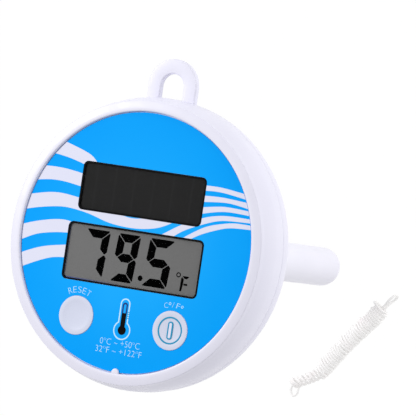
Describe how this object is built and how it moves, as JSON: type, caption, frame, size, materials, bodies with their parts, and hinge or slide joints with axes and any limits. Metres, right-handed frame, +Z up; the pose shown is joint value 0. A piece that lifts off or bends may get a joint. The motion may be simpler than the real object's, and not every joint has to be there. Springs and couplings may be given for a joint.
{
  "type": "floating pool thermometer",
  "caption": "Round floating solar thermometer with a digital face, two push buttons, a tether eyelet and a long sensor probe, with a loose hank of tether cord.",
  "frame": {"origin": "on the body's axis, at the waterline the thermometer floats at", "axes": "+Z up along the body's axis, out of the printed face; +Y towards the tether eyelet; +X to the right of the face as it is read"},
  "size_m": [0.106, 0.1204, 0.1553],
  "materials": {
    "white_shell": "satin moulded ABS, cool white",
    "button_white": "satin moulded plastic, cool white",
    "printed_label": "bright blue screen-printed film",
    "black_frame": "black",
    "clear_window": "clear acrylic pane",
    "solar_black": "charcoal amorphous silicon cell",
    "lcd_grey": "grey polariser over liquid crystal glass",
    "silver_foil": "diffuse reflector foil",
    "inner_white": "moulded",
    "inner_black": "moulded",
    "seal_rubber": "soft grey silicone",
    "board_green": "solder-masked glass epoxy",
    "black_epoxy": "cast epoxy",
    "bright_steel": "plated",
    "lead_red": "PVC insulation",
    "lead_black": "PVC insulation",
    "white_cord": "twisted white nylon cord"
  },
  "bodies": {
    "root": {"front_bezel": "white_shell", "rear_shell": "white_shell", "probe_tube": "white_shell", "shell_seal": "seal_rubber", "probe_seal": "seal_rubber", "face_label": "printed_label", "solar_frame": "black_frame", "solar_window": "clear_window", "solar_cell": "solar_black", "lcd_frame": "black_frame", "lcd_window": "clear_window", "lcd_glass": "lcd_grey", "lcd_reflector": "silver_foil", "lcd_carrier": "inner_white", "zebra_strip_upper": "seal_rubber", "zebra_strip_lower": "seal_rubber", "solar_pad": "seal_rubber", "solar_bracket": "inner_black", "main_board": "board_green", "chip_blob": "black_epoxy", "cell_holder": "inner_black", "backup_cell": "bright_steel", "storage_capacitor": "inner_black", "clock_crystal": "bright_steel", "reset_switch": "inner_black", "reset_seal": "seal_rubber", "unit_switch": "inner_black", "unit_seal": "seal_rubber", "board_screw_1": "bright_steel", "board_screw_2": "bright_steel", "board_screw_3": "bright_steel", "board_screw_4": "bright_steel", "bracket_screw_1": "bright_steel", "bracket_screw_2": "bright_steel", "ballast_weight": "bright_steel", "sensor_plug": "black_epoxy", "thermistor": "black_epoxy", "sensor_lead_red": "lead_red", "sensor_lead_black": "lead_black", "solar_lead_red": "lead_red", "solar_lead_black": "lead_black", "tether_hank": "white_cord"},
    "reset_key": {"reset_button": "button_white", "reset_plunger": "inner_black"},
    "unit_key": {"unit_button": "button_white", "unit_plunger": "inner_black"}
  },
  "joints": [
    {"name": "reset_press", "type": "slide", "parent": "root", "child": "reset_key", "axis": [0, 0, -1], "range_m": [0, 0.0006], "stiffness_N_per_m": 1500},
    {"name": "unit_press", "type": "slide", "parent": "root", "child": "unit_key", "axis": [0, 0, -1], "range_m": [0, 0.0006], "stiffness_N_per_m": 1500}
  ]
}
